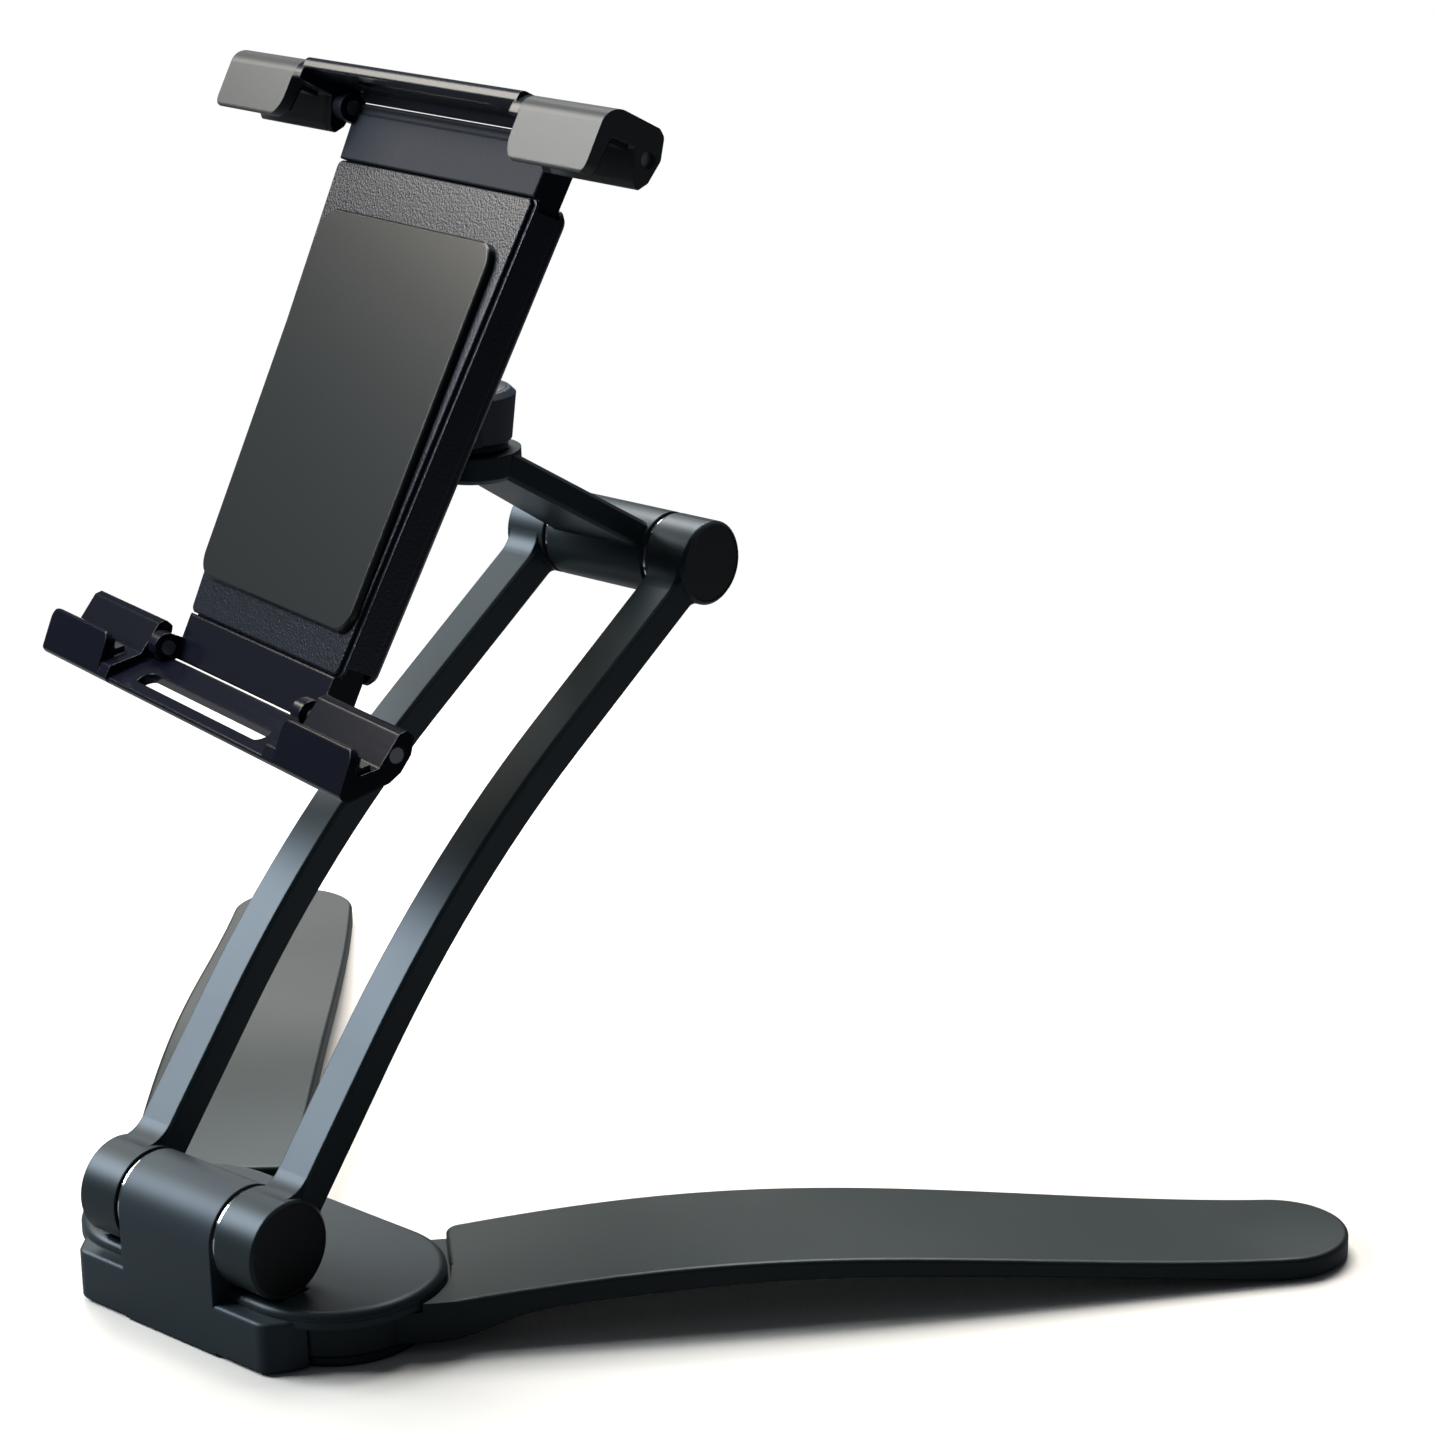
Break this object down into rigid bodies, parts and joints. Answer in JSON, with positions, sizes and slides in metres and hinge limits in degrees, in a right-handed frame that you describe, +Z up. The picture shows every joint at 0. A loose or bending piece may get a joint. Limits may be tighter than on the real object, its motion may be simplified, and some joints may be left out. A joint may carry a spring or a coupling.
{
  "type": "wall tablet holder",
  "caption": "Black folding tablet stand with a heavy hinge base, two splayed flat legs, bent twin arms and a sprung tablet clamp on a swivel head.",
  "frame": {"origin": "on the floor, under the middle of the lower hinge", "axes": "+X along the hinge axes to the right seen from the front, +Y to the back, +Z up"},
  "size_m": [0.3188, 0.1818, 0.2395],
  "materials": {
    "satin_dark_aluminium": "satin",
    "satin_abs": "satin",
    "pad_rubber": "matte",
    "sole_rubber": "matte",
    "chrome": "polished",
    "plain_steel": "brushed",
    "spring_steel": "bright",
    "bush_plastic": "matte",
    "cap_plastic": "satin"
  },
  "bodies": {
    "base": {"base_housing": "satin_dark_aluminium", "pivot_cover": "satin_dark_aluminium", "bottom_plate": "satin_dark_aluminium", "base_screws": "plain_steel", "base_pad": "sole_rubber", "leg_washers": "bush_plastic", "lower_trim_rings": "chrome", "lower_bushes": "bush_plastic"},
    "right_leg": {"right_leg": "satin_dark_aluminium", "right_leg_pad": "sole_rubber"},
    "left_leg": {"left_leg": "satin_dark_aluminium", "left_leg_pad": "sole_rubber"},
    "arms": {"right_arm": "satin_dark_aluminium", "left_arm": "satin_dark_aluminium", "lower_axle": "plain_steel", "lower_axle_nuts": "plain_steel", "lower_end_caps": "cap_plastic", "upper_axle": "plain_steel", "upper_axle_nuts": "plain_steel", "upper_end_caps": "cap_plastic"},
    "link": {"link_arm": "satin_dark_aluminium", "upper_trim_rings": "chrome", "upper_bushes": "bush_plastic", "swivel_bolt": "plain_steel"},
    "head": {"swivel_head": "satin_abs", "swivel_cap": "satin_abs", "tilt_pin": "plain_steel"},
    "turntable": {"turntable": "satin_abs", "turntable_pin": "plain_steel"},
    "clamp": {"front_plate": "satin_abs", "back_cover": "satin_abs", "cover_screws": "plain_steel", "face_pad": "pad_rubber", "clamp_springs": "spring_steel"},
    "upper_slide": {"upper_slide": "satin_abs", "upper_jaw_pins": "plain_steel"},
    "lower_slide": {"lower_slide": "satin_abs", "lower_jaw_pins": "plain_steel"},
    "upper_jaw": {"upper_jaw": "satin_abs", "upper_jaw_pads": "pad_rubber"},
    "lower_jaw": {"lower_jaw": "satin_abs", "lower_jaw_pads": "pad_rubber"}
  },
  "joints": [
    {"name": "right_leg_swing", "type": "hinge", "parent": "base", "child": "right_leg", "pos_m": [0.022, 0.0149, 0.006], "axis": [0, 0, 1], "range_deg": [-5, 41]},
    {"name": "left_leg_swing", "type": "hinge", "parent": "base", "child": "left_leg", "pos_m": [-0.022, 0.0149, 0.006], "axis": [0, 0, -1], "range_deg": [-5, 41]},
    {"name": "arms_raise", "type": "hinge", "parent": "base", "child": "arms", "pos_m": [0, 0, 0.0227], "axis": [1, 0, 0], "range_deg": [-10, 30]},
    {"name": "link_raise", "type": "hinge", "parent": "arms", "child": "link", "pos_m": [0, 0.1253, 0.1308], "axis": [-1, 0, 0], "range_deg": [-10, 60]},
    {"name": "head_swivel", "type": "hinge", "parent": "link", "child": "head", "pos_m": [0, 0.0833, 0.165], "axis": [0, 0, 1], "range_deg": [-60, 60]},
    {"name": "clamp_tilt", "type": "hinge", "parent": "head", "child": "turntable", "pos_m": [-0.0046, 0.07072, 0.1645], "axis": [-0.9391, 0.3437, 0], "range_deg": [-10, 35]},
    {"name": "clamp_turn", "type": "hinge", "parent": "turntable", "child": "clamp", "pos_m": [-0.0069, 0.06445, 0.16793], "axis": [-0.3057, -0.8352, 0.4571], "continuous": true},
    {"name": "upper_slide_pull", "type": "slide", "parent": "clamp", "child": "upper_slide", "axis": [0.0879, 0.4533, 0.887], "range_m": [0, 0.045], "stiffness_N_per_m": 60, "springref_m": -0.05},
    {"name": "lower_slide_pull", "type": "slide", "parent": "clamp", "child": "lower_slide", "axis": [-0.0879, -0.4533, -0.887], "range_m": [0, 0.045], "stiffness_N_per_m": 60, "springref_m": -0.05},
    {"name": "upper_jaw_fold", "type": "hinge", "parent": "upper_slide", "child": "upper_jaw", "pos_m": [-0.00452, 0.08351, 0.22447], "axis": [0.9481, -0.3113, 0.0651], "range_deg": [0, 90]},
    {"name": "lower_jaw_fold", "type": "hinge", "parent": "lower_slide", "child": "lower_jaw", "pos_m": [-0.01513, 0.02985, 0.12239], "axis": [-0.9481, 0.3113, -0.0651], "range_deg": [0, 90]}
  ]
}
